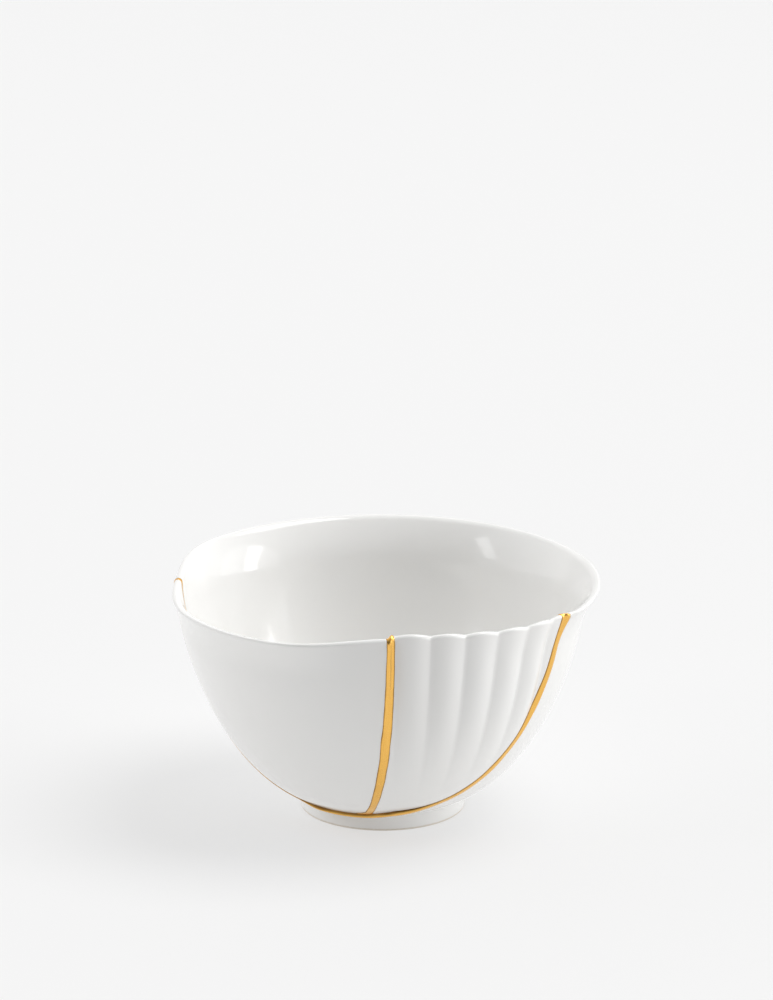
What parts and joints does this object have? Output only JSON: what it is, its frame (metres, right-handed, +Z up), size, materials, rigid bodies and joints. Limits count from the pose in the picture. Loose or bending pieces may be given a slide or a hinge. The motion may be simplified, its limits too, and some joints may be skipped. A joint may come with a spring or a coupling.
{
  "type": "kintsugi bowl",
  "caption": "Footed white porcelain bowl made of three shards of different bowls, plain, fluted and flared, held together by gold seams through the wall.",
  "frame": {"origin": "middle of the bowl's outline, on the surface that it stands on", "axes": "+Z up out of the mouth, -Y the front, where the plain and the fluted shard meet in the upright seam, +X to the right seen from the front"},
  "size_m": [0.1488, 0.1484, 0.0858],
  "materials": {
    "white_porcelain": "clear gloss glaze on warm white porcelain, the foot ring's underside bare",
    "gold": "polished gold with darker, browner edges"
  },
  "bodies": {
    "root": {"footed_shard": "white_porcelain", "plain_shard": "white_porcelain", "fluted_shard": "white_porcelain", "gold_seams": "gold"}
  },
  "joints": []
}
